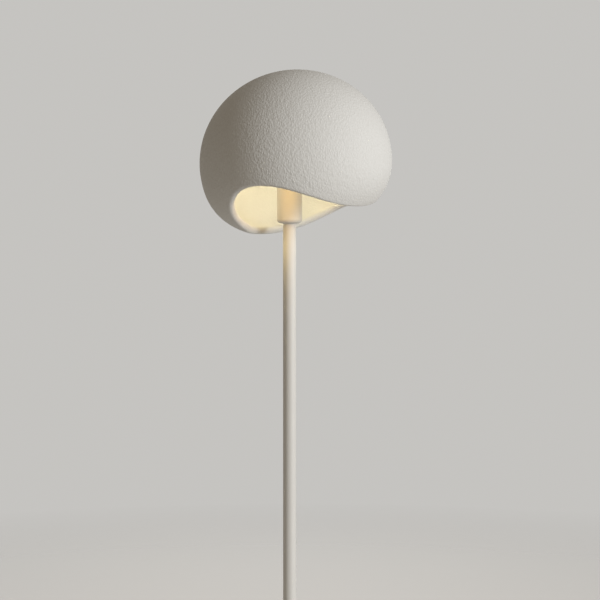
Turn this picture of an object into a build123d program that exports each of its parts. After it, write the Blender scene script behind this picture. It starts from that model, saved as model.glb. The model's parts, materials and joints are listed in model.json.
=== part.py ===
from build123d import *
import os
from math import cos, pi, radians, sin

# A mushroom floor lamp: a weighted round base, a slim two-piece pole, a straight cup over the
# lampholder, and a thick leaning shade with a wavy rim. It stands upright, in millimetres, with
# its origin on the floor at the pole's axis. Azimuths start at the front (-Y) and grow towards
# the right (+X). Angles from the crown run down the shade, so 90 is its widest line.

# Base
base_radius = 140.0
base_height = 20.0
cover_wall = 1.2
cover_edge_radius = 6.0
cover_foot_gap = 1.4        # the cover's edge ends this far above the floor
weight_side_gap = 1.0       # between the cast weight and the cover's side
pad_radius = 135.0
pad_thickness = 2.0
recess_radius = 30.0        # room under the weight for the nut and its washers
recess_spare = 1.0          # between the rod's lower end and the pad

# Cord inlet at the back of the base
inlet_bore_radius = 3.4
inlet_neck_radius = 4.6
inlet_flange_radius = 6.0
inlet_flange_thickness = 1.5
inlet_flange_rounding = 0.45    # share of the flange's thickness
channel_gap = 0.4           # between the bush's inner flange and the channel in the weight

# Pole
pole_radius = 11.0
pole_wall = 1.5
lower_pole_length = 520.0
upper_pole_length = 650.0
pole_end_chamfer = 0.4
insert_length = 16.0        # threaded plug in each end of a pole section

# Hollow M10 threaded rod and what turns on it
thread_radius = 5.0
rod_bore_radius = 3.5
thread_gap = 0.05
rod_reach = 13.0            # how far a rod goes into a pole insert
base_washer_radius = 20.0
base_washer_thickness = 2.0
small_washer_radius = 9.0
small_washer_thickness = 1.0
nut_flats = 14.0
nut_height = 5.0
nut_chamfer = 0.6
rod_stub = 1.0              # what shows of a rod past its nut

# Cup over the lampholder
cup_height = 72.0
cup_wall = 1.5
cup_floor = 2.0
cup_corner_radius = 7.0
cup_gap = 0.3               # between the holder and the cup

# Lampholder, E27: the socket's bore sets the holder's size, and that the cup's
socket_bore_radius = 13.4
shell_wall = 0.5
block_wall = 1.7
holder_wall = 1.8
holder_stub = 4.5           # the holder's body above the ring nut
cap_height = 20.0
cap_floor = 2.5
cap_boss_radius = 8.5
cap_boss_height = 10.0
cap_chamfer = 1.5
spigot_height = 4.0         # the body's spigot, inside the cap
body_height = 40.0
block_thickness = 7.0
block_ring_height = 22.0
block_lift = 2.0            # the block above the cap's edge
mouth_height = 3.0
mouth_chamfer = 1.0
strip_width = 7.0
strip_length = 9.0
strip_thickness = 0.8
strip_rise = 2.2            # the bent strip's upper leaf above its foot
post_thickness = 1.2
side_strip_thickness = 2.2
shell_lift = 2.0            # the screw shell above the block
shell_height = 25.0
terminal_radius = 2.0
terminal_length = 8.0
terminal_head_margin = 1.2  # the head's edge past the screw
terminal_head_height = 1.6
terminal_spacing = 20.0
lock_screw_radius = 1.5
lock_screw_stub = 1.0       # what stands out of the cap's boss

# Bulb, E27 globe-topped lamp
bulb_radius = 30.0
bulb_length = 108.0
bulb_cap_gap = 0.35         # between the bulb's cap and the screw shell
bulb_cap_height = 22.0
bulb_cap_chamfer = 2.0
bulb_neck_step = 0.4        # the plastic neck stands out this far past the cap
bulb_contact_radius = 4.8
bulb_contact_height = 1.2
bulb_insulator_height = 3.0
bulb_body_height = 34.0
globe_wall = 1.2
board_radius = 20.0
board_thickness = 1.6
led_count = 8
led_side = 2.8
led_height = 0.7
led_ring_share = 0.7        # of the board's radius
contact_gap = 0.1           # between the bulb's foot and the sprung contact

# Shade: turned from a quarter ellipse above its widest line and a fuller quarter oval below
shade_radius = 161.0
shade_crown = 153.0         # from the widest line up to the crown
shade_belly = 121.0         # from the widest line down to the full oval's bottom
shade_fullness = 2.32       # 2 would be an ellipse; more is squarer
shade_wall = 13.0
shade_lean_right = 10.5     # degrees: right side up
shade_lean_front = 2.0      # degrees: front side up
shade_offset = 10.5         # its middle stands this far to the right of the pole
shade_rise = 27.9           # widest line above the carrier
lip_rounding = 0.45         # share of the wall that each edge of the rim is rounded by

# The rim: azimuth, and angle from the crown at which the shell ends there
rim_points = [
    (-180, 146),
    (-140, 152),
    (-104, 148),
    (-77, 143.2),
    (-57.8, 121.2),
    (-41, 107),
    (-25, 106.4),
    (22, 133.4),
    (60, 140.5),
    (112, 131),
    (142, 130.5),
]

# Carrier: a flat ring with three arms, screwed up into pads inside the shade
carrier_thickness = 2.5
carrier_ring_width = 11.0
arm_width = 14.0
arm_azimuths = [60, 180, 300]
swivel_gap = 0.1            # carrier on the holder's body, which it turns on
carrier_inset = 15.0        # from the screws out to the shell's inner face where it is nearest
pad_width = 22.0
pad_height = 13.0
pad_slope = 22.0            # degrees that the pad's top rises towards the shell
screw_radius = 2.0
screw_length = 9.0
screw_head_radius = 4.0
screw_head_height = 2.4
screw_head_rounding = 1.2
screw_hole_gap = 0.25
insert_radius = 2.9
insert_depth = 8.0

# Ring nut that holds the carrier down
ring_width = 7.5
ring_height = 7.0
ring_notches = 16
notch_radius = 1.6
notch_floor = 1.5           # solid edge under the notches
ring_chamfer = 1.0

# Levels that follow from the sizes
weight_floor = pad_thickness
inlet_height = (cover_foot_gap + base_height - cover_edge_radius) / 2
weight_top = base_height - cover_wall
recess_depth = (base_washer_thickness + small_washer_thickness + nut_height
                + rod_stub + recess_spare)
recess_top = weight_floor + recess_depth
base_nut_top = recess_top - base_washer_thickness - small_washer_thickness
pole_joint_level = base_height + lower_pole_length
cup_level = pole_joint_level + upper_pole_length
cup_top = cup_level + cup_height
carrier_top = cup_top + carrier_thickness
block_radius = socket_bore_radius + shell_wall + block_wall
holder_radius = block_radius + 2 * holder_wall
cup_inner_radius = holder_radius + cup_gap
cup_radius = cup_inner_radius + cup_wall
body_top = carrier_top + ring_height + holder_stub
body_level = body_top - body_height
holder_level = body_level - cap_height
block_level = body_level + block_lift
strip_level = block_level + block_thickness
shell_level = strip_level + shell_lift
bulb_level = strip_level + strip_rise + strip_thickness + contact_gap
bulb_cap_radius = socket_bore_radius - bulb_cap_gap
bulb_cap_level = bulb_level + bulb_contact_height + bulb_insulator_height
bulb_neck_level = bulb_cap_level + bulb_cap_height
bulb_split_level = bulb_neck_level + bulb_body_height
bulb_wide_level = bulb_level + bulb_length - bulb_radius
shade_level = carrier_top + shade_rise
screw_circle = shade_radius - shade_wall - shade_offset - carrier_inset


def tube(outer, inner, bottom, top):
    """An upright round bar between two levels, hollow where it has an inner radius."""
    bar = Cylinder(outer, top - bottom, align=(Align.CENTER, Align.CENTER, Align.MIN))
    if inner > 0:
        bar -= Cylinder(inner, top - bottom, align=(Align.CENTER, Align.CENTER, Align.MIN))
    return Pos(0, 0, bottom) * bar


def turned(*lines):
    """A body turned about the pole's axis, from the lines of its half section (radius, level)."""
    return revolve(Plane.XZ * make_face(lines), Axis.Z)


def at_azimuth(azimuth, radius, level):
    """A point around the pole's axis."""
    return Vector(radius * sin(radians(azimuth)), -radius * cos(radians(azimuth)), level)


def outer_edge(body, level):
    """The largest round edge of a body at a level."""
    rounds = body.edges().filter_by(GeomType.CIRCLE)
    return max((e for e in rounds if abs(e.center().Z - level) < 0.01), key=lambda e: e.length)


# Base

def base_cover():
    """Spun sheet cover: a flat top, a soft edge and a straight side, open underneath."""
    cover = tube(base_radius, 0, cover_foot_gap, base_height)
    cover = fillet(outer_edge(cover, base_height), cover_edge_radius)
    hollow = tube(base_radius - cover_wall, 0, 0, base_height - cover_wall)
    hollow = fillet(outer_edge(hollow, base_height - cover_wall), cover_edge_radius - cover_wall)
    cover -= hollow
    cover -= tube(thread_radius + thread_gap, 0, 0, base_height)
    return cover - inlet_bar(inlet_neck_radius, base_radius - 2 * cover_edge_radius, base_radius + 1)


def inlet_bar(radius, start, end):
    """A round bar along the cord inlet's axis, between two distances from the pole's axis."""
    bar = Cylinder(radius, end - start, align=(Align.CENTER, Align.CENTER, Align.MIN))
    return Pos(0, start, inlet_height) * Rot(X=-90) * bar


def base_weight():
    """Cast disc with a rounded top edge, a nut recess below and a cord channel to the back."""
    radius = base_radius - cover_wall - weight_side_gap
    weight = tube(radius, 0, weight_floor, weight_top)
    weight = fillet(outer_edge(weight, weight_top), cover_edge_radius - cover_wall)
    weight -= tube(recess_radius, 0, weight_floor, recess_top)
    weight -= tube(thread_radius + thread_gap, 0, weight_floor, weight_top)
    half_width = inlet_flange_radius + channel_gap
    channel = Box(2 * half_width, radius, inlet_height + half_width - weight_floor,
                  align=(Align.CENTER, Align.MIN, Align.MIN))
    return weight - Pos(0, recess_radius / 2, weight_floor) * channel


def base_pad():
    """Flat foam pad under the weight, which the lamp stands on."""
    return tube(pad_radius, 0, 0, pad_thickness)


def cord_inlet_bush():
    """Flanged rubber bush that lines the cord's hole in the cover, with a flange on each side."""
    outside = base_radius + inlet_flange_thickness
    inside = base_radius - cover_wall - inlet_flange_thickness
    bush = inlet_bar(inlet_neck_radius, inside, outside)
    bush += inlet_bar(inlet_flange_radius, base_radius - cover_wall / 2, outside)
    bush += inlet_bar(inlet_flange_radius, inside, base_radius - cover_wall / 2)
    rim = outer_inlet_edge(bush, outside)
    bush = fillet(rim, inlet_flange_rounding * inlet_flange_thickness)
    bush -= inlet_bar(inlet_bore_radius, inside - 1, outside + 1)
    return bush - base_cover()


def outer_inlet_edge(body, distance):
    """The largest round edge of a body at a distance along the inlet's axis."""
    rounds = body.edges().filter_by(GeomType.CIRCLE)
    return max((e for e in rounds if abs(e.center().Y - distance) < 0.01), key=lambda e: e.length)


def threaded_rod(bottom, top):
    """Hollow threaded rod, drawn at its thread's outer size."""
    return tube(thread_radius, rod_bore_radius, bottom, top)


def flat_washer(radius, thickness, bottom):
    """Washer on a threaded rod."""
    return tube(radius, thread_radius + thread_gap, bottom, bottom + thickness)


def hexagon_nut(bottom):
    """Flat hexagon nut on a threaded rod, with its corners turned off."""
    corner_radius = nut_flats / 2 / cos(pi / 6)
    nut = extrude(RegularPolygon(corner_radius, 6), nut_height)
    turned_blank = Cylinder(corner_radius, nut_height, align=(Align.CENTER, Align.CENTER, Align.MIN))
    nut &= chamfer(turned_blank.edges().filter_by(GeomType.CIRCLE), nut_chamfer)
    nut -= Cylinder(thread_radius + thread_gap, 3 * nut_height)
    return Pos(0, 0, bottom) * nut


# Pole

def pole_section(bottom, length):
    """Straight steel tube with lightly chamfered ends."""
    blank = tube(pole_radius, 0, bottom, bottom + length)
    blank = chamfer(blank.edges().filter_by(GeomType.CIRCLE), pole_end_chamfer)
    return blank - tube(pole_radius - pole_wall, 0, bottom, bottom + length)


def pole_insert(bottom):
    """Turned plug fixed in a tube's end, tapped for a threaded rod."""
    return tube(pole_radius - pole_wall, thread_radius + thread_gap, bottom, bottom + insert_length)


# Cup and lampholder

def holder_cover():
    """Straight painted cup with a rounded bottom edge."""
    cup = tube(cup_radius, 0, cup_level, cup_top)
    cup = fillet(outer_edge(cup, cup_level), cup_corner_radius)
    hollow = tube(cup_inner_radius, 0, cup_level + cup_floor, cup_top)
    hollow = fillet(outer_edge(hollow, cup_level + cup_floor), cup_corner_radius - cup_floor)
    return cup - hollow - tube(thread_radius + thread_gap, 0, cup_level, cup_level + cup_floor)


def holder_cap():
    """Lower half of the lampholder: a plastic cup with a tapped boss in its floor."""
    cap = tube(holder_radius, 0, holder_level, body_level)
    cap = chamfer(outer_edge(cap, holder_level), cap_chamfer)
    cap -= tube(holder_radius - holder_wall, 0, holder_level + cap_floor, body_level)
    cap += tube(cap_boss_radius, 0, holder_level, holder_level + cap_boss_height)
    cap -= tube(thread_radius + thread_gap, 0, holder_level, holder_level + cap_boss_height)
    return cap - lock_screw_bar()


def lock_screw_bar():
    """A round bar along the cap's locking screw, from the threaded rod out past the boss."""
    length = cap_boss_radius + lock_screw_stub - thread_radius
    bar = Cylinder(lock_screw_radius, length, align=(Align.CENTER, Align.CENTER, Align.MIN))
    level = holder_level + (cap_floor + cap_boss_height) / 2
    return Pos(thread_radius, 0, level) * Rot(Y=90) * bar


def cap_lock_screw():
    """Small screw in the cap's boss that stops the holder turning on its rod."""
    return lock_screw_bar() - tube(thread_radius, 0, holder_level, body_level)


def holder_body():
    """Upper half of the lampholder: a sleeve with a spigot below and a narrower mouth."""
    inner = holder_radius - holder_wall
    sleeve = tube(holder_radius, 0, body_level, body_top)
    sleeve = chamfer(outer_edge(sleeve, body_top), mouth_chamfer)
    sleeve += tube(inner - thread_gap, 0, body_level - spigot_height, body_level)
    bore = inner - holder_wall
    sleeve -= tube(bore, 0, body_level - spigot_height, body_top - mouth_height)
    return sleeve - tube(socket_bore_radius + shell_wall, 0, body_top - mouth_height, body_top)


def contact_block():
    """Moulded block across the holder, with a ring round the screw shell and two terminal holes."""
    block = tube(block_radius, 0, block_level, strip_level)
    ring_top = block_level + block_ring_height
    block += tube(block_radius, socket_bore_radius + shell_wall, strip_level, ring_top)
    for side in (-1, 1):
        block -= Pos(0, side * terminal_spacing / 2, 0) * tube(terminal_radius, 0, block_level, strip_level)
    return block


def upright_box(width, depth, height):
    """A box that stands on its middle."""
    return Box(width, depth, height, align=(Align.CENTER, Align.CENTER, Align.MIN))


def centre_contact():
    """Springy strip bent into two leaves; the bulb's foot rests on the upper one."""
    leaf = upright_box(strip_width, strip_length, strip_thickness)
    post = upright_box(strip_width, post_thickness, strip_rise)
    bent = leaf + Pos(0, (strip_length - post_thickness) / 2, 0) * post + Pos(0, 0, strip_rise) * leaf
    return Pos(0, 0, strip_level) * bent


def side_contact():
    """Short strip from the block up to the screw shell's foot."""
    strip = upright_box(side_strip_thickness, strip_width, shell_lift)
    return Pos(side_strip_thickness / 2 - socket_bore_radius, 0, strip_level) * strip


def screw_shell():
    """Thin rolled shell that the bulb's thread turns in, with its foot turned in."""
    outer = socket_bore_radius + shell_wall
    shell = tube(outer, socket_bore_radius, shell_level, shell_level + shell_height)
    foot_bore = socket_bore_radius - side_strip_thickness
    return shell + tube(socket_bore_radius, foot_bore, shell_level, shell_level + shell_wall)


def terminal_screws():
    """Two terminal screws through the contact block."""
    foot = strip_level - terminal_length
    screw = tube(terminal_radius, 0, foot, strip_level)
    screw += tube(terminal_radius + terminal_head_margin, 0, foot - terminal_head_height, block_level)
    return Compound([Pos(0, side * terminal_spacing / 2, 0) * screw for side in (-1, 1)])


# Bulb

def bulb_outline_radius(level):
    """The bulb's radius at a level between its cap and its widest line."""
    neck = bulb_cap_radius + bulb_neck_step
    share = (level - bulb_neck_level) / (bulb_wide_level - bulb_neck_level)
    return neck + (bulb_radius - neck) * (1 - cos(pi * share)) / 2


def bulb_form(bottom, inset):
    """The bulb's round outline from a level up to its top, inset all over."""
    steps = 6
    levels = [bottom + (bulb_wide_level - bottom) * i / steps for i in range(steps + 1)]
    side = [(bulb_outline_radius(level) - inset, level) for level in levels]
    return turned(
        Line((0, bottom), side[0]),
        Spline(*side),
        CenterArc((0, bulb_wide_level), bulb_radius - inset, 0, 90),
        Line((0, bulb_wide_level + bulb_radius - inset), (0, bottom)),
    )


def bulb_contact():
    """Solder button at the bulb's foot."""
    return tube(bulb_contact_radius, 0, bulb_level, bulb_level + bulb_contact_height)


def bulb_insulator():
    """Black cone between the foot contact and the metal cap."""
    bottom = bulb_level + bulb_contact_height
    narrow = (bulb_contact_radius + bulb_cap_chamfer / 2, bottom)
    wide = (bulb_cap_radius - bulb_cap_chamfer, bulb_cap_level)
    return turned(Polyline((0, bottom), narrow, wide, (0, bulb_cap_level), close=True))


def bulb_cap():
    """Metal screw cap, drawn at its thread's outer size."""
    cap = tube(bulb_cap_radius, 0, bulb_cap_level, bulb_neck_level)
    return chamfer(outer_edge(cap, bulb_cap_level), bulb_cap_chamfer)


def bulb_body():
    """Plastic neck that widens from the cap up to the globe."""
    return bulb_form(bulb_neck_level, 0) & tube(bulb_radius, 0, bulb_neck_level, bulb_split_level)


def bulb_globe():
    """Thin opal globe over the LED board."""
    return bulb_form(bulb_split_level, 0) - bulb_form(bulb_split_level, globe_wall)


def bulb_led_board():
    """Round board on top of the neck, with a ring of square LEDs."""
    board = tube(board_radius, 0, bulb_split_level, bulb_split_level + board_thickness)
    led = upright_box(led_side, led_side, led_height)
    for i in range(led_count):
        spot = Pos(board_radius * led_ring_share, 0, bulb_split_level + board_thickness)
        board += Rot(Z=360 * i / led_count) * spot * led
    return board


# Shade

def oval_point(angle, inset):
    """Radius and level of the oval's outline at an angle from the crown, inset from its face."""
    power = 1 if angle <= 90 else 2 / shade_fullness
    height = shade_crown if angle <= 90 else -shade_belly
    radius = (shade_radius - inset) * abs(sin(radians(angle))) ** power
    return radius, (height - inset * height / abs(height)) * abs(cos(radians(angle))) ** power


def full_oval(inset):
    """The closed mushroom form before its underside is cut away, inset all over."""
    steps = 8
    crown = [oval_point(90 * i / steps, inset) for i in range(steps + 1)]
    belly = [oval_point(90 + 90 * i / steps, inset) for i in range(1, steps)]
    return turned(
        Spline(*crown, tangents=[(1, 0), (0, -1)]),
        Spline(crown[-1], *belly, (0, inset - shade_belly), tangents=[(0, -1), (-1, 0)]),
        Line((0, inset - shade_belly), (0, shade_crown - inset)),
    )


def below_rim():
    """Everything below the wavy rim: a cone from the shade's middle out through the rim's curve."""
    reach = 1.35
    curve = [at_azimuth(azimuth, *oval_point(angle, 0)) * reach for azimuth, angle in rim_points]
    rim = Wire([Edge.make_spline(curve, periodic=True)])
    return Solid.make_loft([Vertex(0, 0, 0), rim, Vertex(0, 0, -3 * shade_belly)], ruled=True)


def shade_place():
    """Where the shade's middle stands, and its lean."""
    return Pos(shade_offset, 0, shade_level) * Rot(X=-shade_lean_front) * Rot(Y=-shade_lean_right)


def screw_spot(azimuth, level):
    """Place of one of the carrier's screws, turned so that +Y there points at the pole."""
    return Pos(at_azimuth(azimuth, screw_circle, level)) * Rot(Z=azimuth)


def carrier_pad(azimuth, form):
    """Moulded pad that stands in from the shell over one arm, with a sloping top."""
    rise = shade_radius * sin(radians(pad_slope))
    side_view = Polyline((pad_width / 2, 0), (-shade_radius, 0), (-shade_radius, pad_height + rise),
                         (pad_width / 2, pad_height), close=True)
    wedge = extrude(Plane.YZ * make_face(side_view), pad_width / 2, both=True)
    plan = Circle(pad_width / 2) + Pos(0, -shade_radius / 2) * Rectangle(pad_width, shade_radius)
    return screw_spot(azimuth, carrier_top) * (wedge & extrude(plan, shade_radius)) & form


def shade_shell():
    """Thick moulded shell with a rolled lip and three pads for the carrier's screws."""
    shell = full_oval(0) - full_oval(shade_wall) - below_rim()
    lip = shell.faces().filter_by(GeomType.BSPLINE)[0]
    rim_edges = [edge for edge in lip.edges() if edge.length > 2 * shade_wall]
    shell = shade_place() * fillet(rim_edges, lip_rounding * shade_wall)
    form = shade_place() * full_oval(shade_wall / 2)
    for azimuth in arm_azimuths:
        shell += carrier_pad(azimuth, form)
        hole = Cylinder(insert_radius, insert_depth, align=(Align.CENTER, Align.CENTER, Align.MIN))
        shell -= screw_spot(azimuth, carrier_top) * hole
    return shell


def shade_carrier():
    """Flat ring with three round-ended arms, cut from one sheet."""
    inner = holder_radius + swivel_gap
    plan = Circle(inner + carrier_ring_width)
    for azimuth in arm_azimuths:
        reach = at_azimuth(azimuth, screw_circle, 0)
        arm = Pos(0, -screw_circle / 2) * Rectangle(arm_width, screw_circle)
        plan += Rot(Z=azimuth) * arm
        plan += Pos(reach.X, reach.Y) * Circle(arm_width / 2)
    plan -= Circle(inner)
    for azimuth in arm_azimuths:
        hole = at_azimuth(azimuth, screw_circle, 0)
        plan -= Pos(hole.X, hole.Y) * Circle(screw_radius + screw_hole_gap)
    return Pos(0, 0, cup_top) * extrude(plan, carrier_thickness)


def carrier_inserts():
    """Three threaded brass inserts, one in each pad."""
    insert = tube(insert_radius, screw_radius, 0, insert_depth)
    return Compound([screw_spot(azimuth, carrier_top) * insert for azimuth in arm_azimuths])


def carrier_screws():
    """Three pan-head screws, up through the arms into the inserts."""
    screw = tube(screw_radius, 0, 0, screw_length)
    head = tube(screw_head_radius, 0, -screw_head_height, 0)
    head = fillet(outer_edge(head, -screw_head_height), screw_head_rounding)
    return Compound([screw_spot(azimuth, cup_top) * (screw + head) for azimuth in arm_azimuths])


def shade_ring():
    """Ring nut on the holder's body, with grip notches round its edge."""
    outer = holder_radius + ring_width
    ring = tube(outer, 0, carrier_top, carrier_top + ring_height)
    ring = chamfer(outer_edge(ring, carrier_top + ring_height), ring_chamfer)
    ring -= tube(holder_radius, 0, carrier_top, carrier_top + ring_height)
    notch = tube(notch_radius, 0, carrier_top + notch_floor, carrier_top + ring_height)
    for i in range(ring_notches):
        ring -= Rot(Z=360 * i / ring_notches) * Pos(outer + notch_radius / 2, 0, 0) * notch
    return ring


# All pieces, each under its own name

nodes = {
    "base_pad": base_pad(),
    "base_weight": base_weight(),
    "base_cover": base_cover(),
    "cord_inlet_bush": cord_inlet_bush(),
    "base_rod": threaded_rod(base_nut_top - nut_height - rod_stub, base_height + rod_reach),
    "base_washer": flat_washer(base_washer_radius, base_washer_thickness,
                               recess_top - base_washer_thickness),
    "base_lock_washer": flat_washer(small_washer_radius, small_washer_thickness, base_nut_top),
    "base_nut": hexagon_nut(base_nut_top - nut_height),
    "lower_pole": pole_section(base_height, lower_pole_length),
    "lower_pole_foot_insert": pole_insert(base_height),
    "lower_pole_head_insert": pole_insert(pole_joint_level - insert_length),
    "pole_joint_rod": threaded_rod(pole_joint_level - rod_reach, pole_joint_level + rod_reach),
    "upper_pole": pole_section(pole_joint_level, upper_pole_length),
    "upper_pole_foot_insert": pole_insert(pole_joint_level),
    "upper_pole_head_insert": pole_insert(cup_level - insert_length),
    "holder_rod": threaded_rod(cup_level - rod_reach, holder_level + cap_boss_height),
    "holder_cover": holder_cover(),
    "holder_washer": flat_washer(small_washer_radius, small_washer_thickness, cup_level + cup_floor),
    "holder_nut": hexagon_nut(cup_level + cup_floor + small_washer_thickness),
    "holder_cap": holder_cap(),
    "cap_lock_screw": cap_lock_screw(),
    "holder_body": holder_body(),
    "contact_block": contact_block(),
    "centre_contact": centre_contact(),
    "side_contact": side_contact(),
    "screw_shell": screw_shell(),
    "terminal_screws": terminal_screws(),
    "shade_ring": shade_ring(),
    "shade_carrier": shade_carrier(),
    "carrier_inserts": carrier_inserts(),
    "carrier_screws": carrier_screws(),
    "shade_shell": shade_shell(),
    "bulb_contact": bulb_contact(),
    "bulb_insulator": bulb_insulator(),
    "bulb_cap": bulb_cap(),
    "bulb_body": bulb_body(),
    "bulb_globe": bulb_globe(),
    "bulb_led_board": bulb_led_board(),
}

os.makedirs("parts", exist_ok=True)
for name, piece in nodes.items():
    export_step(piece, f"parts/{name}.step")
print(len(nodes), "pieces, lamp height", round(shade_level + shade_crown, 1))
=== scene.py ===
import json
import math

import bmesh
import bpy
import numpy as np
from mathutils import Matrix, Vector, noise


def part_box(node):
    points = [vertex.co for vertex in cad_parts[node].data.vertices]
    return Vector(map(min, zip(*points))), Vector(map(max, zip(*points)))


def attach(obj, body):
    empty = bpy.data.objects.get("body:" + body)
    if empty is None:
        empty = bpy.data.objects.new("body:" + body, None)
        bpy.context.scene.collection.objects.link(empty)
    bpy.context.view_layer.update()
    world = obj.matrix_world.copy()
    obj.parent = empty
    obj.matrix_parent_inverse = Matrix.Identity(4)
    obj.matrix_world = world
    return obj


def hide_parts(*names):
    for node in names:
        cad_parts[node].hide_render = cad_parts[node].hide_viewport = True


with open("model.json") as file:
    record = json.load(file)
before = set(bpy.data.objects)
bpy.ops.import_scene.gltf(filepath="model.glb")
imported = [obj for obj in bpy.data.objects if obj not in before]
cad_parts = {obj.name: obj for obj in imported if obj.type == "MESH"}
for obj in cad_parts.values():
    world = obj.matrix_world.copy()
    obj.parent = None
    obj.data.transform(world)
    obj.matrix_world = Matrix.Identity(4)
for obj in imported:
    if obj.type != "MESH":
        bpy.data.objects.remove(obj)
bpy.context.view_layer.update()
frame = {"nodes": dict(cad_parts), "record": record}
scene = bpy.context.scene


def mm(value):
    return value * 0.001


# Helpers for meshes

def newPiece(name, verts, faces, material):
    mesh = bpy.data.meshes.new(name)
    mesh.from_pydata(verts, [], faces)
    mesh.materials.append(material)
    piece = bpy.data.objects.new(name, mesh)
    scene.collection.objects.link(piece)
    return piece


def softShading(piece, sharpAngle):
    piece.data.shade_smooth()
    piece.data.set_sharp_from_angle(angle=math.radians(sharpAngle))


def applyModifiers(piece):
    dependencies = bpy.context.evaluated_depsgraph_get()
    mesh = bpy.data.meshes.new_from_object(piece.evaluated_get(dependencies))
    piece.modifiers.clear()
    piece.data = mesh


def roundEdges(piece, width, segments, sharpAngle=40):
    rounding = piece.modifiers.new("rounding", "BEVEL")
    rounding.width, rounding.segments = width, segments
    rounding.limit_method, rounding.angle_limit = "ANGLE", math.radians(sharpAngle)
    applyModifiers(piece)


def combine(piece, other, operation):    # UNION, DIFFERENCE or INTERSECT with a closed mesh
    cut = piece.modifiers.new("combine", "BOOLEAN")
    cut.operation = operation
    cut.solver = "MANIFOLD"
    cut.object = other
    applyModifiers(piece)
    bpy.data.objects.remove(other)


def prismFaces(count):    # of a mesh with its low corners first and then the high ones
    faces = [tuple(range(count))[::-1], tuple(range(count, 2 * count))]
    return faces + [(i, (i + 1) % count, count + (i + 1) % count, count + i) for i in range(count)]


# Helpers for materials

def newMaterial(name, **shaderValues):
    material = bpy.data.materials.new(name)
    material.use_nodes = True
    tree = material.node_tree
    shader = tree.nodes["Principled BSDF"]
    for socket, value in shaderValues.items():
        shader.inputs[socket.replace("_", " ")].default_value = value
    spot = tree.nodes.new("ShaderNodeTexCoord").outputs["Object"]
    return material, tree, shader, spot


def makeNode(tree, kind, **inputs):    # a socket is linked, anything else is set
    node = tree.nodes.new(kind)
    for name, value in inputs.items():
        socket = node.inputs[name.replace("_", " ")]
        if isinstance(value, bpy.types.NodeSocket):
            tree.links.new(value, socket)
        else:
            socket.default_value = value
    return node


def grains(tree, spot, size, detail=2.0, roughness=0.5, stretch=(1, 1, 1)):    # size of a grain in metres
    place = makeNode(tree, "ShaderNodeMapping", Vector=spot, Scale=stretch)
    texture = makeNode(tree, "ShaderNodeTexNoise", Vector=place.outputs["Vector"], Scale=1 / size,
                       Detail=detail, Roughness=roughness)
    return texture.outputs["Fac"]


def spread(tree, value, low, high, fromLow=0.3, fromHigh=0.7):
    ranged = makeNode(tree, "ShaderNodeMapRange", Value=value)
    for name, number in (("From Min", fromLow), ("From Max", fromHigh), ("To Min", low), ("To Max", high)):
        ranged.inputs[name].default_value = number
    return ranged.outputs["Result"]


def maths(tree, operation, first, second):
    node = tree.nodes.new("ShaderNodeMath")
    node.operation = operation
    tree.links.new(first, node.inputs[0])
    tree.links.new(second, node.inputs[1])
    return node.outputs["Value"]


def tint(tree, factor, first, second):    # colours from the first, at 0, to the second, at 1
    mix = makeNode(tree, "ShaderNodeMixRGB", Fac=factor)
    for socket, colour in ((mix.inputs["Color1"], first), (mix.inputs["Color2"], second)):
        if isinstance(colour, bpy.types.NodeSocket):
            tree.links.new(colour, socket)
        else:
            socket.default_value = (*colour, 1)
    return mix.outputs["Color"]


def joinShaders(tree, kind, first, second):
    node = tree.nodes.new(kind)
    for shader in (first, second):
        socket = [socket for socket in node.inputs if socket.type == "SHADER" and not socket.is_linked][0]
        tree.links.new(shader, socket)
    return node


def bump(tree, height, depth, below=None):    # depth in metres from the lowest to the highest
    relief = makeNode(tree, "ShaderNodeBump", Height=height, Distance=depth, Strength=1.0)
    if below:
        tree.links.new(below, relief.inputs["Normal"])
    return relief.outputs["Normal"]


# The shade's sizes

shade = {
    "radius": mm(161),         # at its widest line, outside
    "crown": mm(153),          # from the widest line up to the top
    "belly": mm(121),          # from the widest line down, before the underside is cut away
    "fullness": 2.32,          # of the lower half: 2 is an ellipse, more is squarer
    "wall": mm(13),
    "leanRight": 10.5,         # degrees, right side up
    "leanFront": 2.0,          # degrees, front side up
    "offset": mm(10.5),        # its middle is this far to the right of the pole
    "rise": mm(27.9),          # its widest line is this far above the carrier
    "lipRounding": 0.45,       # of the wall, on each edge of the rim
    "rim": [(-180, 146), (-140, 152), (-104, 148), (-77, 143.2), (-57.8, 121.2), (-41, 107),
            (-25, 106.4), (22, 133.4), (60, 140.5), (112, 131), (142, 130.5)],
    "padWidth": mm(22),
    "padHeight": mm(13),
    "padSlope": 19.3,          # degrees that a pad's top rises towards the shell
    "padRounding": mm(1.2),
    "padAzimuths": (60, 180, 300),
    "insertRadius": mm(2.9),
    "insertDepth": mm(8),
    "carrierInset": mm(15),    # from the screws out to the shell's inner face where it is nearest
}
shadeMesh = {
    "columns": 448,            # halved wherever the rings get short
    "outerRings": 168,
    "innerRings": 74,
    "outerQuad": mm(2.3),
    "innerQuad": mm(4.5),
    "outlineSteps": 2880,      # along a half section
    "rimSteps": 60,            # between two points of the rim
    "rimProbe": mm(0.1),       # step back from the rim that shows the face's direction there
    "lipSteps": 6,
    "formColumns": 96,
    "formSteps": 72,
    "holeColumns": 32,
    "holeStart": mm(1),        # a cut for an insert starts this far below its pad
    "padSteps": 24,
}
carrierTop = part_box("shade_carrier")[1].z
shadePlace = Vector((shade["offset"], 0, carrierTop + shade["rise"]))
shadeMove = (Matrix.Translation(shadePlace) @ Matrix.Rotation(math.radians(-shade["leanFront"]), 4, "X")
             @ Matrix.Rotation(math.radians(-shade["leanRight"]), 4, "Y"))


# Finishes

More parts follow.
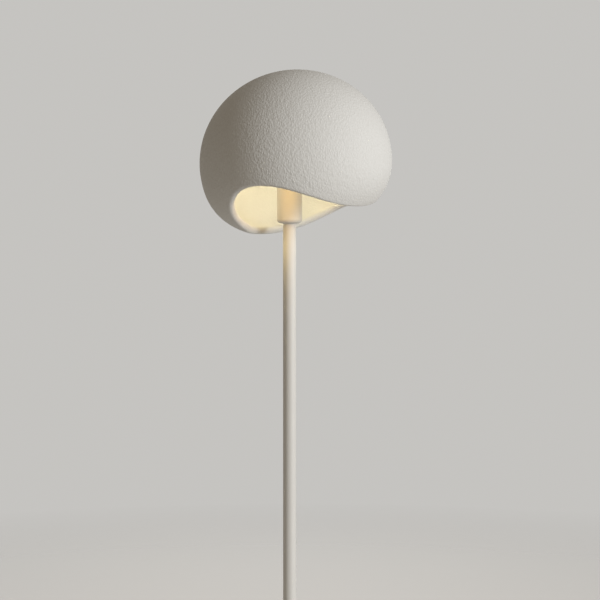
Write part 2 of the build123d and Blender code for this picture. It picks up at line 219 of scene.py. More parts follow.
pulp = {
    "colour": (0.80, 0.797, 0.775),
    # painted shade: the darker colour given to the hollows between the pebbles
    "paintedShadeColour": (0.77, 0.765, 0.74),
    "roughness": (0.78, 0.92),
    "specular": 0.35,
    "cloud": mm(70),           # size of the patches that are a little rougher
    "pebble": mm(2.9),
    "pebbleDepth": mm(0.4),
    "pebbleBlend": 0.35,       # how softly one runs into the next
    "pebbleEdge": (0.05, 0.75),      # its top and its foot, in pebbles from its middle
    "paintedShadeUpTo": 0.5,         # of the height; below it the hollows get their painted shade
    "stretch": (1, 1, 0.72),
    "wobble": mm(7),           # the pebbles' outlines wander over this size
    "wobbleReach": mm(3),
    "insidePebbles": 0.25,     # of their depth outside
    "outsideFrom": 0.8,        # how far a face points away from the shade's middle to count as outside
    "lump": mm(9),
    "lumpDepth": mm(0.2),
    "grain": mm(0.9),
    "grainDepth": mm(0.05),
}


def outside(tree, spot):    # 1 on the shell's outer face, less round the lip and least inside
    away = makeNode(tree, "ShaderNodeVectorMath")
    away.operation = "SUBTRACT"
    tree.links.new(spot, away.inputs[0])
    away.inputs[1].default_value = shadePlace
    direction = makeNode(tree, "ShaderNodeVectorMath")
    direction.operation = "NORMALIZE"
    tree.links.new(away.outputs["Vector"], direction.inputs[0])
    facing = makeNode(tree, "ShaderNodeVectorMath")
    facing.operation = "DOT_PRODUCT"
    tree.links.new(direction.outputs["Vector"], facing.inputs[0])
    tree.links.new(spot.node.outputs["Normal"], facing.inputs[1])
    return spread(tree, facing.outputs["Value"], pulp["insidePebbles"], 1, 0, pulp["outsideFrom"])


def mouldedPulp():
    material, tree, shader, spot = newMaterial("mouldedPulp", Specular_IOR_Level=pulp["specular"])
    warp = makeNode(tree, "ShaderNodeTexNoise", Vector=spot, Scale=1 / pulp["wobble"], Detail=1.0)
    offset = makeNode(tree, "ShaderNodeVectorMath")
    offset.operation = "MULTIPLY_ADD"
    tree.links.new(warp.outputs["Color"], offset.inputs[0])
    offset.inputs[1].default_value = (pulp["wobbleReach"],) * 3
    tree.links.new(spot, offset.inputs[2])
    place = makeNode(tree, "ShaderNodeMapping", Vector=offset.outputs["Vector"], Scale=pulp["stretch"])
    cells = makeNode(tree, "ShaderNodeTexVoronoi", Vector=place.outputs["Vector"], Scale=1 / pulp["pebble"])
    cells.feature = "SMOOTH_F1"
    cells.inputs["Smoothness"].default_value = pulp["pebbleBlend"]
    domes = spread(tree, cells.outputs["Distance"], 1, 0, *pulp["pebbleEdge"])
    domes = maths(tree, "MULTIPLY", domes, outside(tree, spot))
    # painted shade: the hollows between the pebbles are given a darker colour, by the pebbles' height
    paintedShadeMask = spread(tree, domes, 1, 0, 0, pulp["paintedShadeUpTo"])
    lumps = grains(tree, spot, pulp["lump"], 2)
    fine = grains(tree, spot, pulp["grain"], 3, 0.6)
    clouds = grains(tree, spot, pulp["cloud"], 3)
    tree.links.new(tint(tree, paintedShadeMask, pulp["colour"], pulp["paintedShadeColour"]), shader.inputs["Base Color"])
    tree.links.new(spread(tree, clouds, *pulp["roughness"]), shader.inputs["Roughness"])
    relief = bump(tree, lumps, pulp["lumpDepth"])
    relief = bump(tree, domes, pulp["pebbleDepth"], relief)
    tree.links.new(bump(tree, fine, pulp["grainDepth"], relief), shader.inputs["Normal"])
    return material


powder = {
    "colour": (0.79, 0.78, 0.75),
    "wornColour": (0.75, 0.735, 0.70),
    "roughness": (0.42, 0.52),
    "specular": 0.45,
    "cloud": mm(60),
    "flow": mm(1.8),           # the waves that the powder melts into
    "flowDepth": mm(0.03),
    "grain": mm(0.35),
    "grainDepth": mm(0.015),
}


def powderCoat():
    material, tree, shader, spot = newMaterial("powderCoat", Specular_IOR_Level=powder["specular"])
    clouds = grains(tree, spot, powder["cloud"], 3)
    flow = grains(tree, spot, powder["flow"], 1)
    fine = grains(tree, spot, powder["grain"], 2)
    tree.links.new(tint(tree, clouds, powder["colour"], powder["wornColour"]), shader.inputs["Base Color"])
    tree.links.new(spread(tree, fine, *powder["roughness"]), shader.inputs["Roughness"])
    relief = bump(tree, flow, powder["flowDepth"])
    tree.links.new(bump(tree, fine, powder["grainDepth"], relief), shader.inputs["Normal"])
    return material


casting = {
    "colour": (0.17, 0.165, 0.16),
    "darkColour": (0.10, 0.10, 0.10),
    "roughness": (0.55, 0.8),
    "sand": mm(0.8),
    "sandDepth": mm(0.25),
}


def sandCasting():
    material, tree, shader, spot = newMaterial("sandCasting")
    sand = grains(tree, spot, casting["sand"], 4, 0.6)
    tree.links.new(tint(tree, sand, casting["darkColour"], casting["colour"]), shader.inputs["Base Color"])
    tree.links.new(spread(tree, sand, *casting["roughness"]), shader.inputs["Roughness"])
    tree.links.new(bump(tree, sand, casting["sandDepth"]), shader.inputs["Normal"])
    return material


foam = {
    "foamColour": (0.10, 0.10, 0.10),
    # painted shade colour for the low gaps between the domes
    "paintedGapShadeColour": (0.05, 0.05, 0.05),
    "roughness": (0.95, 0.8),
    "cell": mm(0.9),
    "cellDepth": mm(0.15),
    "cellEdge": 0.6,           # of a cell, from its middle
}


def cellFoam():
    material, tree, shader, spot = newMaterial("cellFoam")
    cells = makeNode(tree, "ShaderNodeTexVoronoi", Vector=spot, Scale=1 / foam["cell"])
    away = cells.outputs["Distance"]
    domes = spread(tree, away, 1, 0, 0, foam["cellEdge"])
    # painted shade: darker from the domes' tops towards the gaps between them
    tree.links.new(tint(tree, away, foam["foamColour"], foam["paintedGapShadeColour"]), shader.inputs["Base Color"])
    tree.links.new(spread(tree, away, *foam["roughness"], 0, foam["cellEdge"]), shader.inputs["Roughness"])
    tree.links.new(bump(tree, domes, foam["cellDepth"]), shader.inputs["Normal"])
    return material


rubber = {
    "colour": (0.72, 0.71, 0.68),
    "darkColour": (0.66, 0.65, 0.62),
    "roughness": (0.6, 0.75),
    "grain": mm(0.4),
    "grainDepth": mm(0.03),
}


def softRubber():
    material, tree, shader, spot = newMaterial("softRubber")
    fine = grains(tree, spot, rubber["grain"], 3)
    tree.links.new(tint(tree, fine, rubber["colour"], rubber["darkColour"]), shader.inputs["Base Color"])
    tree.links.new(spread(tree, fine, *rubber["roughness"]), shader.inputs["Roughness"])
    tree.links.new(bump(tree, fine, rubber["grainDepth"]), shader.inputs["Normal"])
    return material


metals = {    # by slot, with the width and depth of the fine lines that turning or rolling leaves
    "plated_steel": {"name": "zincPlate", "colour": (0.62, 0.61, 0.58), "darkColour": (0.52, 0.51, 0.47),
                     "roughness": (0.25, 0.42), "line": mm(0.2), "depth": mm(0.01)},
    "contact_brass": {"name": "stampedBrass", "colour": (0.74, 0.60, 0.34),
                      "darkColour": (0.58, 0.44, 0.22), "roughness": (0.28, 0.45), "line": mm(0.3),
                      "depth": mm(0.01)},
    "bulb_cap_metal": {"name": "rolledAluminium", "colour": (0.75, 0.75, 0.76),
                       "darkColour": (0.66, 0.66, 0.67), "roughness": (0.25, 0.38), "line": mm(0.2),
                       "depth": mm(0.008)},
}
metalStain = mm(5)
metalStretch = (0.05, 0.05, 1)    # draws the grains out sideways into level lines


def turnedMetal(name, colour, darkColour, roughness, line, depth):
    material, tree, shader, spot = newMaterial(name, Metallic=1.0)
    stains = grains(tree, spot, metalStain, 3)
    lines = grains(tree, spot, line, 2, stretch=metalStretch)
    tree.links.new(tint(tree, stains, colour, darkColour), shader.inputs["Base Color"])
    tree.links.new(spread(tree, stains, *roughness), shader.inputs["Roughness"])
    tree.links.new(bump(tree, lines, depth), shader.inputs["Normal"])
    return material


plastics = {    # by slot, with the size and depth of the mould's grain
    "holder_plastic": {"name": "holderPlastic", "colour": (0.80, 0.79, 0.75),
                       "darkColour": (0.76, 0.75, 0.70), "roughness": (0.38, 0.5), "grain": mm(0.3),
                       "depth": mm(0.02)},
    "contact_ceramic": {"name": "unglazedCeramic", "colour": (0.82, 0.80, 0.76),
                        "darkColour": (0.74, 0.71, 0.66), "roughness": (0.7, 0.85), "grain": mm(0.5),
                        "depth": mm(0.05)},
    "bulb_black": {"name": "blackGlass", "colour": (0.03, 0.03, 0.03), "darkColour": (0.02, 0.02, 0.02),
                   "roughness": (0.1, 0.2), "grain": mm(1), "depth": mm(0.01)},
    "bulb_plastic": {"name": "bulbPlastic", "colour": (0.86, 0.85, 0.82), "darkColour": (0.83, 0.82, 0.78),
                     "roughness": (0.25, 0.35), "grain": mm(0.8), "depth": mm(0.008)},
    "board_metal": {"name": "solderMask", "colour": (0.85, 0.85, 0.83), "darkColour": (0.78, 0.78, 0.75),
                    "roughness": (0.3, 0.45), "grain": mm(0.4), "depth": mm(0.01)},
}
plasticCloud = mm(25)


def mouldedPlastic(name, colour, darkColour, roughness, grain, depth):
    material, tree, shader, spot = newMaterial(name)
    fine = grains(tree, spot, grain, 2)
    clouds = grains(tree, spot, plasticCloud)
    tree.links.new(tint(tree, clouds, colour, darkColour), shader.inputs["Base Color"])
    tree.links.new(spread(tree, fine, *roughness), shader.inputs["Roughness"])
    tree.links.new(bump(tree, fine, depth), shader.inputs["Normal"])
    return material


opal = {
    "colour": (0.93, 0.91, 0.86),
    "darkColour": (0.90, 0.88, 0.82),
    "roughness": 0.3,
    "glow": (1.0, 0.89, 0.61),
    "strength": 12.4,
    "grain": mm(1.2),
    "grainDepth": mm(0.01),
}


def litOpal():
    material, tree, shader, spot = newMaterial("litOpal", Roughness=opal["roughness"],
                                               Emission_Strength=opal["strength"],
                                               Emission_Color=(*opal["glow"], 1))
    fine = grains(tree, spot, opal["grain"], 2)
    tree.links.new(tint(tree, fine, opal["colour"], opal["darkColour"]), shader.inputs["Base Color"])
    tree.links.new(bump(tree, fine, opal["grainDepth"]), shader.inputs["Normal"])
    return material


finishes = {
    "white_paint": powderCoat(),
    "shade_pulp": mouldedPulp(),
    "cast_weight": sandCasting(),
    "base_foam": cellFoam(),
    "white_rubber": softRubber(),
    "bulb_opal": litOpal(),
}
for slot, settings in metals.items():
    finishes[slot] = turnedMetal(**settings)
for slot, settings in plastics.items():
    finishes[slot] = mouldedPlastic(**settings)
for subpart in frame["record"]["subparts"]:
    materials = frame["nodes"][subpart["node"]].data.materials
    materials.clear()
    materials.append(finishes[subpart["material_slot"]])
print("finishes made")


# The shade: a thick moulded shell with a wavy rim and a pebbled skin

def ovalSection(angle, inset):    # radius and height at angles from the crown, in degrees
    upper = angle <= 90
    power = np.where(upper, 1.0, 2 / shade["fullness"])
    radius = (shade["radius"] - inset) * np.abs(np.sin(np.radians(angle))) ** power
    height = np.where(upper, shade["crown"] - inset, inset - shade["belly"])
    return radius, height * np.abs(np.cos(np.radians(angle))) ** power


def aroundPole(azimuth, radius, height):    # azimuth 0 is the front, and it grows to the right
    turn = np.radians(azimuth)
    return np.stack([radius * np.sin(turn), -radius * np.cos(turn), height + 0 * turn], -1)


def closedSpline(points, steps):    # one smooth closed curve, spaced by the chords between its points
    count = len(points)
    ahead = np.roll(points, -1, 0)
    chord = np.linalg.norm(ahead - points, axis=1)
    slope = (ahead - points) / chord[:, None]
    system = np.zeros((count, count))
    for i in range(count):
        system[i, i - 1] += chord[i - 1]
        system[i, i] += 2 * (chord[i - 1] + chord[i])
        system[i, (i + 1) % count] += chord[i]
    bend = np.linalg.solve(system, 6 * (slope - np.roll(slope, 1, 0)))
    curve = []
    for i in range(count):
        j = (i + 1) % count
        t = np.linspace(0, chord[i], steps, endpoint=False)[:, None]
        rest = chord[i] - t
        curve.append((bend[i] * rest**3 + bend[j] * t**3) / (6 * chord[i])
                     + (points[i] / chord[i] - bend[i] * chord[i] / 6) * rest
                     + (points[j] / chord[i] - bend[j] * chord[i] / 6) * t)
    return np.concatenate(curve)


class Outline:    # half section of the shell's outer or inner face, by the length along it from the crown
    def __init__(self, inset):
        angle = np.linspace(0, 180, shadeMesh["outlineSteps"] + 1)
        self.radius, self.height = ovalSection(angle, inset)
        steps = np.hypot(np.diff(self.radius), np.diff(self.height))
        self.length = np.concatenate([[0], np.cumsum(steps)])
        self.tilt = np.arctan2(self.radius, self.height)

    def lengthAtTilt(self, tilt):
        return np.interp(tilt, self.tilt, self.length)

    def points(self, azimuth, length):
        return aroundPole(azimuth, np.interp(length, self.length, self.radius),
                          np.interp(length, self.length, self.height))


def roundedCorner(along, across, turnRadius, steps):
    # shares of two unit directions that lead round a corner's fillet, from the first to the second
    opening = math.pi - np.arccos(np.clip((along * across).sum(-1), -1, 1))
    reach = turnRadius / np.tan((math.pi - opening) / 2)
    middle = turnRadius / np.sin(opening)
    shares = []
    for step in np.linspace(0, 1, steps + 1):
        first = np.sin((1 - step) * opening) / np.sin(opening)
        second = np.sin(step * opening) / np.sin(opening)
        shares.append((middle + first * (reach - middle) - second * middle,
                       middle - first * middle + second * (reach - middle)))
    return shares


def unit(vectors):
    return vectors / np.linalg.norm(vectors, axis=-1, keepdims=True)


def shellRings():    # points, with their quads' size: down the outside, round the lip, up the inside
    columns = shadeMesh["columns"]
    azimuth = np.arange(columns) * 360 / columns - 180
    rim = np.array(shade["rim"], float)
    curve = closedSpline(aroundPole(rim[:, 0], *ovalSection(rim[:, 1], 0)), shadeMesh["rimSteps"])
    curveAzimuth = np.degrees(np.arctan2(curve[:, 0], -curve[:, 1]))
    curveTilt = np.arctan2(np.hypot(curve[:, 0], curve[:, 1]), curve[:, 2])
    order = np.argsort(curveAzimuth)
    tilt = np.interp(azimuth, curveAzimuth[order], curveTilt[order], period=360)
    edges = []
    for outline in (Outline(0), Outline(shade["wall"])):
        end = outline.lengthAtTilt(tilt)
        edge = outline.points(azimuth, end)
        back = unit(outline.points(azimuth, end - shadeMesh["rimProbe"]) - edge)
        edges.append((outline, end, edge, back))
    alongRim = unit(np.roll(edges[0][2], -1, 0) - np.roll(edges[0][2], 1, 0))
    sides = []
    for this, other, count, quad in ((0, 1, shadeMesh["outerRings"], shadeMesh["outerQuad"]),
                                     (1, 0, shadeMesh["innerRings"], shadeMesh["innerQuad"])):
        outline, end, edge, back = edges[this]
        over = edges[other][2] - edge
        backAcross, overAcross = (v - (v * alongRim).sum(-1)[:, None] * alongRim for v in (back, over))
        backShare, overShare = (np.linalg.norm(v, axis=-1) for v in (backAcross, overAcross))
        corner = roundedCorner(unit(backAcross), unit(overAcross), shade["lipRounding"] * shade["wall"],
                               shadeMesh["lipSteps"])
        lip = [outline.points(azimuth, end - along / backShare) + over * (across / overShare)[:, None]
               for along, across in corner]
        start = end - corner[0][0] / backShare
        face = [outline.points(azimuth, start * i / count) for i in range(1, count)]
        sides.append([(ring, quad) for ring in face] + [(ring, shadeMesh["outerQuad"]) for ring in lip])
    return sides[0] + sides[1][::-1]


def netOfRings(rings):    # joins rings, with half the columns wherever that still keeps the quads small
    verts, faces, before = [], [], None
    for ring, quad in rings:
        around = np.linalg.norm(np.roll(ring, -1, 0) - ring, axis=1).sum()
        while len(ring) % 2 == 0 and around <= len(ring) / 2 * quad:
            ring = ring[::2]
        here = [len(verts) + i for i in range(len(ring))]
        verts.extend(map(tuple, ring))
        if before:
            joinRings(faces, before, here)
        before = here
    return verts, faces


def joinRings(faces, upper, lower):
    fewer = min(len(upper), len(lower))
    for i in range(fewer):
        j = (i + 1) % fewer
        if len(upper) == len(lower):
            faces.append((upper[i], lower[i], lower[j], upper[j]))
        elif len(upper) < len(lower):
            first, middle, last = lower[2 * i], lower[2 * i + 1], lower[2 * j]
            faces += [(upper[i], first, middle), (upper[i], middle, upper[j]), (upper[j], middle, last)]
        else:
            first, middle, last = upper[2 * i], upper[2 * i + 1], upper[2 * j]
            faces += [(first, lower[i], middle), (middle, lower[i], lower[j]), (middle, lower[j], last)]


skin = {    # pressed into the mesh; finer grain is in the finish
    "pebble": mm(4.6),
    "depth": mm(0.35),
    "stretch": 0.75,           # less than 1 makes them taller than wide
    "roundness": 1.3,          # more makes them smaller, with wider gaps
    "wobble": mm(11),
    "wobbleReach": 0.35,       # of a pebble
    "lump": mm(9),
    "lumpShare": 0.3,          # of the depth
}


def pebbles(point):    # 1 on top of a pebble and less towards its edge
    wobble = noise.noise_vector(point / skin["wobble"]) * skin["wobbleReach"]
    place = Vector((point.x, point.y, point.z * skin["stretch"])) / skin["pebble"] + wobble
    nearest = noise.voronoi(place)[0][0]
    pebble = max(0, 1 - skin["roundness"] * nearest * nearest)
    lump = 0.5 + 0.5 * noise.noise(point / skin["lump"])
    return (1 - skin["lumpShare"]) * pebble + skin["lumpShare"] * lump


def pressPebbles(mesh):    # only into the surface, so that the shell keeps its size
    count = len(mesh.vertices)
    spots, normals = np.zeros(3 * count), np.zeros(3 * count)
    mesh.vertices.foreach_get("co", spots)
    mesh.vertices.foreach_get("normal", normals)
    spots, normals = spots.reshape(-1, 3), normals.reshape(-1, 3)
    facing = (unit(spots) * normals).sum(1)
    share = np.interp(facing, (0, pulp["outsideFrom"]), (pulp["insidePebbles"], 1))
    depth = np.array([1 - pebbles(Vector(spot)) for spot in spots]) * skin["depth"]
    spots -= normals * (depth * share)[:, None]
    mesh.vertices.foreach_set("co", spots.ravel())
    mesh.update()


def makeShell():
    rings = shellRings()
    verts, faces = netOfRings(rings)
    verts += [(0, 0, shade["crown"]), (0, 0, shade["crown"] - shade["wall"])]
    shell = newPiece("shade_shell_pulp", verts, faces, finishes["shade_pulp"])
    mesh = bmesh.new()
    mesh.from_mesh(shell.data)
    mesh.verts.ensure_lookup_table()
    for edgeLoop, tip in zip(openLoops(mesh), (mesh.verts[-2], mesh.verts[-1])):
        for edge in edgeLoop:
            mesh.faces.new((*edge.verts, tip))
    bmesh.ops.recalc_face_normals(mesh, faces=mesh.faces)
    mesh.to_mesh(shell.data)
    mesh.free()
    shell.data.shade_smooth()
    return shell


def openLoops(mesh):    # the open edges round the crown, outside and inside
    openEdges = [edge for edge in mesh.edges if edge.is_boundary]
    split = shade["crown"] - shade["wall"] / 2
    return ([edge for edge in openEdges if edge.verts[0].co.z > split],
            [edge for edge in openEdges if edge.verts[0].co.z <= split])


def makeForm(inset):    # the closed oval before its underside is cut away
    outline = Outline(inset)
    columns, steps = shadeMesh["formColumns"], shadeMesh["formSteps"]
    azimuth = np.arange(columns) * 360 / columns
    rings = [outline.points(azimuth, outline.length[-1] * i / steps) for i in range(1, steps)]
    verts = [tuple(point) for ring in rings for point in ring]
    verts += [(0, 0, shade["crown"] - inset), (0, 0, inset - shade["belly"])]
    faces = []
    for i in range(columns):
        j = (i + 1) % columns
        last = (steps - 2) * columns
        faces += [(len(verts) - 2, i, j), (len(verts) - 1, last + j, last + i)]
        for k in range(0, last, columns):
            faces.append((k + i, k + columns + i, k + columns + j, k + j))
    form = newPiece("form", verts, faces, finishes["shade_pulp"])
    form.data.transform(shadeMove)
    return form


def padSpot(azimuth):    # over a screw of the carrier, turned so that +Y there points at the pole
    circle = shade["radius"] - shade["wall"] - shade["offset"] - shade["carrierInset"]
    return (Matrix.Translation(aroundPole(azimuth, circle, carrierTop))
            @ Matrix.Rotation(math.radians(azimuth), 4, "Z"))


def makePad(azimuth):    # stands in from the wall over one arm of the carrier
    half, length = shade["padWidth"] / 2, shade["radius"]
    turns = np.linspace(0, math.pi, shadeMesh["padSteps"] + 1)
    outline = [(half * math.cos(turn), half * math.sin(turn)) for turn in turns]
    outline += [(-half, -length), (half, -length)]
    rise = math.tan(math.radians(shade["padSlope"]))
    low = [(x, y, 0) for x, y in outline]
    high = [(x, y, shade["padHeight"] + (half - y) * rise) for x, y in outline]
    pad = newPiece("pad", low + high, prismFaces(len(outline)), finishes["shade_pulp"])
    roundEdges(pad, shade["padRounding"], segments=3)
    pad.data.transform(padSpot(azimuth))
    combine(pad, makeForm(shade["wall"] / 2), "INTERSECT")
    return pad


def roundHole(radius, depth, spot):
    turns = np.linspace(0, math.tau, shadeMesh["holeColumns"] + 1)[:-1]
    around = [(radius * math.cos(turn), radius * math.sin(turn)) for turn in turns]
    verts = [(x, y, z) for z in (-shadeMesh["holeStart"], depth) for x, y in around]
    hole = newPiece("hole", verts, prismFaces(len(around)), finishes["shade_pulp"])
    hole.data.transform(spot)
    return hole


shell = makeShell()
print("shell", len(shell.data.polygons), "faces")
pressPebbles(shell.data)
shell.data.transform(shadeMove)
for azimuth in shade["padAzimuths"]:
    combine(shell, makePad(azimuth), "UNION")
    combine(shell, roundHole(shade["insertRadius"], shade["insertDepth"], padSpot(azimuth)), "DIFFERENCE")
softShading(shell, sharpAngle=50)
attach(shell, "shade")
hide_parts("shade_shell")
print("shell with pads", len(shell.data.polygons), "faces")
print("shade made")


# Threads and screws, which the CAD part shows as plain cylinders

threads = {
    "rodRadius": mm(5),
    "rodBore": mm(3.5),
    "rodPitch": mm(1),
    "rodDepth": mm(0.55),
    "rodColumns": 40,
    "rodSteps": 8,             # in one turn of the thread
    "bulbPitch": mm(3.62),
    "bulbDepth": mm(0.7),
    "bulbColumns": 80,
    "bulbSteps": 12,
    "capChamfer": mm(2),
    "capCollar": mm(4.5),      # plain top of the bulb's cap
    "capFade": (mm(4), mm(2)),       # the thread fades in from below and out at the top
    "shellFade": (mm(3), mm(1.5)),
    "shellWall": mm(0.5),
    "shellFoot": mm(2.2),      # width of the socket shell's turned-in foot
}


def sharpThread(turns):    # how deep, from 0 to 1, at a number of turns along the thread
    return abs(2 * (turns % 1) - 1)


def rolledThread(turns):
    return 0.5 - 0.5 * math.cos(math.tau * turns)


def turnedForm(name, finish, section, columns, thread=None):
    # section: radius, height and share of the thread; it closes on itself, or starts and ends on the axis
    verts, rings = [], []
    for radius, height, share in section:
        if radius == 0:
            rings.append([len(verts)])
            verts.append((0, 0, height))
            continue
        rings.append(range(len(verts), len(verts) + columns))
        for i in range(columns):
            turn = math.tau * i / columns
            cut = share and share * thread["depth"] * thread["form"](height / thread["pitch"] - i / columns)
            verts.append(((radius - cut) * math.cos(turn), (radius - cut) * math.sin(turn), height))
    if len(rings[0]) > 1:
        rings.append(rings[0])
    faces = []
    for lower, upper in zip(rings, rings[1:]):
        for i in range(columns):
            j = (i + 1) % columns
            if len(lower) == 1:
                faces.append((lower[0], upper[j], upper[i]))
            elif len(upper) == 1:
                faces.append((lower[i], lower[j], upper[0]))
            else:
                faces.append((lower[i], lower[j], upper[j], upper[i]))
    return newPiece(name, verts, faces, finishes[finish])


def threadedSide(radius, bottom, top, step, shareAt):
    count = round((top - bottom) / step)
    heights = [bottom + (top - bottom) * i / count for i in range(count + 1)]
    return [(radius, height, shareAt(height)) for height in heights]


def makeRod(node):
    low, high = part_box(node)
    radius, bore, depth = threads["rodRadius"], threads["rodBore"], threads["rodDepth"]
    side = threadedSide(radius, low.z + depth, high.z - depth, threads["rodPitch"] / threads["rodSteps"],
                        lambda height: 1)
    section = [(bore, low.z, 0), (radius - depth, low.z, 0), *side,
               (radius - depth, high.z, 0), (bore, high.z, 0)]
    rod = turnedForm(node + "_thread", "plated_steel", section, threads["rodColumns"],
                     {"form": sharpThread, "pitch": threads["rodPitch"], "depth": depth})
    settle(rod, "stand", node, 40)


def settle(piece, body, node, sharpAngle):    # on its body, in place of the plain node
    softShading(piece, sharpAngle)
    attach(piece, body)
    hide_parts(node)


def makeBulbThreads():
    rolled = {"form": rolledThread, "pitch": threads["bulbPitch"], "depth": threads["bulbDepth"]}
    step, columns = threads["bulbPitch"] / threads["bulbSteps"], threads["bulbColumns"]
    low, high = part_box("bulb_cap")
    radius, inset = high.x, threads["capChamfer"]

    def capShare(height):
        fadeIn, fadeOut = threads["capFade"]
        return min(1, (height - low.z) / fadeIn, max(0, (high.z - threads["capCollar"] - height) / fadeOut))

    side = threadedSide(radius, low.z + inset, high.z, step, capShare)
    section = [(inset, low.z, 0), (radius - inset, low.z, 0), *side, (inset, high.z, 0)]
    settle(turnedForm("bulb_cap_thread", "bulb_cap_metal", section, columns, rolled),
           "bulb", "bulb_cap", 40)

    low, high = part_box("screw_shell")
    outer, wall = high.x, threads["shellWall"]

    def shellShare(height):
        fadeIn, fadeOut = threads["shellFade"]
        return min(1, (height - low.z) / fadeIn, (high.z - height) / fadeOut)

    outside = threadedSide(outer, low.z, high.z, step, shellShare)
    inside = threadedSide(outer - wall, low.z + wall, high.z, step, shellShare)[::-1]
    foot = outer - wall - threads["shellFoot"]
    section = [*outside, *inside, (foot, low.z + wall, 0), (foot, low.z, 0)]
    settle(turnedForm("screw_shell_thread", "contact_brass", section, columns, rolled),
           "stand", "screw_shell", 50)


screws = {
    "radius": mm(2),
    "headRadius": mm(4),
    "headHeight": mm(2.4),
    "headRounding": mm(1.2),
    "pitch": mm(0.7),
    "threadDepth": mm(0.4),
    "neck": mm(0.3),           # plain under the head
    "tip": mm(0.4),
    "tipWidth": 0.7,           # of the screw's
    "recessWidth": mm(0.95),
    "recessLength": mm(4.4),
    "recessDepth": mm(1.4),
    "recessStart": mm(0.2),    # below the head
    "recessTaper": (1.05, 0.55),
    "columns": 32,
    "headSteps": 6,
    "threadSteps": 6,          # in one turn
    "turn": 1.7,               # each stands differently: this times its arm's azimuth
}


def crossRecess(bottom):
    half, arm = screws["recessWidth"] / 2, screws["recessLength"] / 2
    plan = [(half, half), (half, arm), (-half, arm), (-half, half), (-arm, half), (-arm, -half),
            (-half, -half), (-half, -arm), (half, -arm), (half, -half), (arm, -half), (arm, half)]
    wide, narrow = screws["recessTaper"]
    verts = [(x * wide, y * wide, bottom - screws["recessStart"]) for x, y in plan]
    verts += [(x * narrow, y * narrow, bottom + screws["recessDepth"]) for x, y in plan]
    return newPiece("recess", verts, prismFaces(len(plan)), finishes["plated_steel"])


def makeCarrierScrews():
    low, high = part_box("carrier_screws")
    radius, rounding, head = screws["radius"], screws["headRounding"], screws["headRadius"]
    underHead = low.z + screws["headHeight"]
    section = [(0, low.z, 0)]
    for turn in np.linspace(0, math.pi / 2, screws["headSteps"] + 1):
        section.append((head - rounding + rounding * math.sin(turn),
                        low.z + rounding - rounding * math.cos(turn), 0))
    section += [(head, underHead, 0), (radius, underHead, 0)]
    section += threadedSide(radius, underHead + screws["neck"], high.z - screws["tip"],
                            screws["pitch"] / screws["threadSteps"], lambda height: 1)
    section += [(radius * screws["tipWidth"], high.z, 0), (0, high.z, 0)]
    thread = {"form": sharpThread, "pitch": screws["pitch"], "depth": screws["threadDepth"]}
    mesh = bmesh.new()
    for azimuth in shade["padAzimuths"]:
        screw = turnedForm("screw", "plated_steel", section, screws["columns"], thread)
        combine(screw, crossRecess(low.z), "DIFFERENCE")
        spot = padSpot(azimuth)
        spot.translation.z = 0
        screw.data.transform(spot @ Matrix.Rotation(math.radians(azimuth * screws["turn"]), 4, "Z"))
        mesh.from_mesh(screw.data)
        bpy.data.objects.remove(screw)
    piece = newPiece("carrier_screws_pan_head", [], [], finishes["plated_steel"])
    mesh.to_mesh(piece.data)
    mesh.free()
    settle(piece, "shade", "carrier_screws", 35)


for node in ("base_rod", "pole_joint_rod", "holder_rod"):
    makeRod(node)
makeBulbThreads()
makeCarrierScrews()
print("threads and screws made")


# Studio: a pale floor that fades into a plain backdrop, a key lamp, a lamp behind and even fill

studio = {
    "backdropColour": (0.56, 0.55, 0.53),
    "fillColour": (0.203, 0.176, 0.142),
    "floorColour": (0.74, 0.73, 0.71),
    "floorRoughness": 0.7,
    "floorLift": (0.15, 0.15, 0.15),    # seen by the camera only
    "floorRadius": 12,
    "floorColumns": 96,
    "floorDrop": mm(0.3),      # the floor lies this far below the lamp, so that they don't touch
    "fadeStart": 1.0,
    "fadeEnd": 3.8,
    "target": (0, 0, 1.15),
}

studioLamps = {    # azimuth in degrees to the right of the camera
    "keyLamp": {"azimuth": 55, "elevation": 12, "distance": 4.4, "size": (1.5, 2.8), "power": 50,
                "colour": (0.98, 0.99, 1.0), "beam": 110},
    "backLamp": {"azimuth": 180, "elevation": 12, "distance": 4.4, "size": (1.6, 1.6), "power": 30,
                 "colour": (1.0, 0.97, 0.93), "beam": 110, "shine": False},
}

innerLamps = {    # what the shade's hollow throws back on the cup and the top of the pole
    "cupLamp": {"place": (-0.006, -0.10, 1.235), "aim": (0, 0, 1.21), "size": (0.13, 0.06), "power": 0.037,
                "colour": (1, 0.50, 0.04)},
    "poleLamp": {"place": (-0.06, -0.045, 1.19), "aim": (0, 0, 1.12), "size": (0.04, 0.04), "power": 0.005,
                 "colour": (1, 0.78, 0.36), "beam": 70},
}


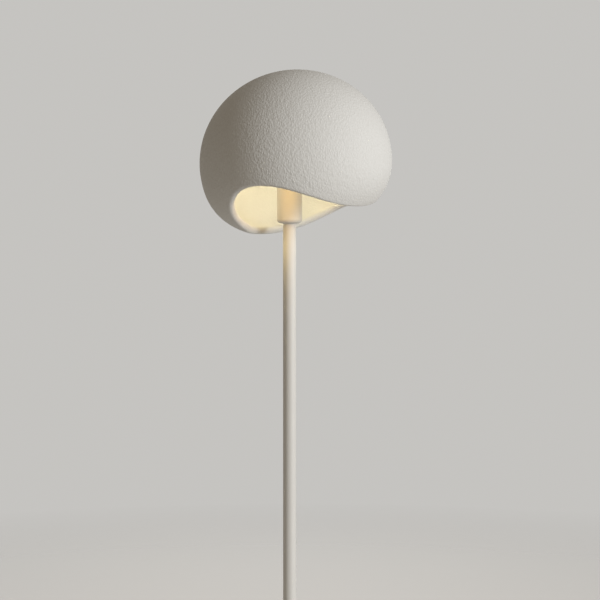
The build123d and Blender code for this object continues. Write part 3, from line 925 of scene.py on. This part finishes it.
def makeFloor():
    radius, columns = studio["floorRadius"], studio["floorColumns"]
    verts = [(0, 0, 0)] + [(radius * math.cos(turn), radius * math.sin(turn), 0)
                           for turn in np.linspace(0, math.tau, columns + 1)[:-1]]
    faces = [(0, i, i % columns + 1) for i in range(1, columns + 1)]
    material, tree, shader, spot = newMaterial("paleFloor", Roughness=studio["floorRoughness"])
    shader.inputs["Base Color"].default_value = (*studio["floorColour"], 1)
    distance = tree.nodes.new("ShaderNodeVectorMath")
    distance.operation = "LENGTH"
    tree.links.new(spot, distance.inputs[0])
    lift = tree.nodes.new("ShaderNodeEmission")
    lift.inputs["Color"].default_value = (*studio["floorLift"], 1)
    tree.links.new(tree.nodes.new("ShaderNodeLightPath").outputs["Is Camera Ray"], lift.inputs["Strength"])
    lifted = joinShaders(tree, "ShaderNodeAddShader", shader.outputs["BSDF"], lift.outputs["Emission"])
    clear = tree.nodes.new("ShaderNodeBsdfTransparent")
    mix = joinShaders(tree, "ShaderNodeMixShader", lifted.outputs["Shader"], clear.outputs["BSDF"])
    tree.links.new(spread(tree, distance.outputs["Value"], 0, 1, studio["fadeStart"], studio["fadeEnd"]),
                   mix.inputs["Fac"])
    tree.links.new(mix.outputs["Shader"], tree.nodes["Material Output"].inputs["Surface"])
    floor = newPiece("floor", verts, faces, material)
    floor.location.z = -studio["floorDrop"]


def makeWorld():
    world = bpy.data.worlds.new("studio")
    scene.world = world
    world.use_nodes = True
    tree = world.node_tree
    fill = tree.nodes["Background"]
    fill.inputs["Color"].default_value = (*studio["fillColour"], 1)
    backdrop = tree.nodes.new("ShaderNodeBackground")
    backdrop.inputs["Color"].default_value = (*studio["backdropColour"], 1)
    ray = tree.nodes.new("ShaderNodeLightPath").outputs
    seen = maths(tree, "MAXIMUM", ray["Is Camera Ray"], ray["Is Glossy Ray"])
    seen = maths(tree, "MAXIMUM", seen, ray["Is Transmission Ray"])
    mix = joinShaders(tree, "ShaderNodeMixShader", fill.outputs["Background"],
                      backdrop.outputs["Background"])
    tree.links.new(seen, mix.inputs["Fac"])
    tree.links.new(mix.outputs["Shader"], tree.nodes["World Output"].inputs["Surface"])


def makeLamp(name, place, aim, size, power, colour, beam=180, shine=True):
    lamp = bpy.data.lights.new(name, "AREA")
    lamp.shape = "ELLIPSE"
    lamp.size, lamp.size_y = size
    lamp.energy, lamp.color = power, colour
    lamp.spread = math.radians(beam)
    light = bpy.data.objects.new(name, lamp)
    light.location = place
    light.rotation_euler = (Vector(place) - Vector(aim)).to_track_quat("Z", "Y").to_euler()
    light.visible_camera = False
    light.visible_glossy = shine
    scene.collection.objects.link(light)


def makeStudioLamp(name, azimuth, elevation, distance, **settings):
    turn, rise = math.radians(azimuth), math.radians(elevation)
    away = Vector((math.sin(turn) * math.cos(rise), -math.cos(turn) * math.cos(rise), math.sin(rise)))
    makeLamp(name, Vector(studio["target"]) + away * distance, studio["target"], **settings)


view = {
    "place": (0, -2.300, 1.154),
    "lens": 82.14,
    "sensor": 36,
    "focalLength": 1369,       # of the photo, in pixels
    "horizonUp": 55,           # pixels above the photo's middle
    "poleLeft": 10.5,          # pixels to the left of it
}


def makeCamera():
    lens = bpy.data.cameras.new("camera")
    lens.lens, lens.sensor_width = view["lens"], view["sensor"]
    camera = bpy.data.objects.new("camera", lens)
    camera.location = view["place"]
    lookDown = math.degrees(math.atan(view["horizonUp"] / view["focalLength"]))
    lookRight = math.degrees(math.atan(view["poleLeft"] / view["focalLength"]))
    camera.rotation_euler = (math.radians(90 - lookDown), 0, math.radians(-lookRight))
    scene.collection.objects.link(camera)
    scene.camera = camera


makeFloor()
makeWorld()
for name, settings in studioLamps.items():
    makeStudioLamp(name, **settings)
for name, settings in innerLamps.items():
    makeLamp(name, **settings)
makeCamera()
scene.view_settings.view_transform = "Standard"
print("studio made")
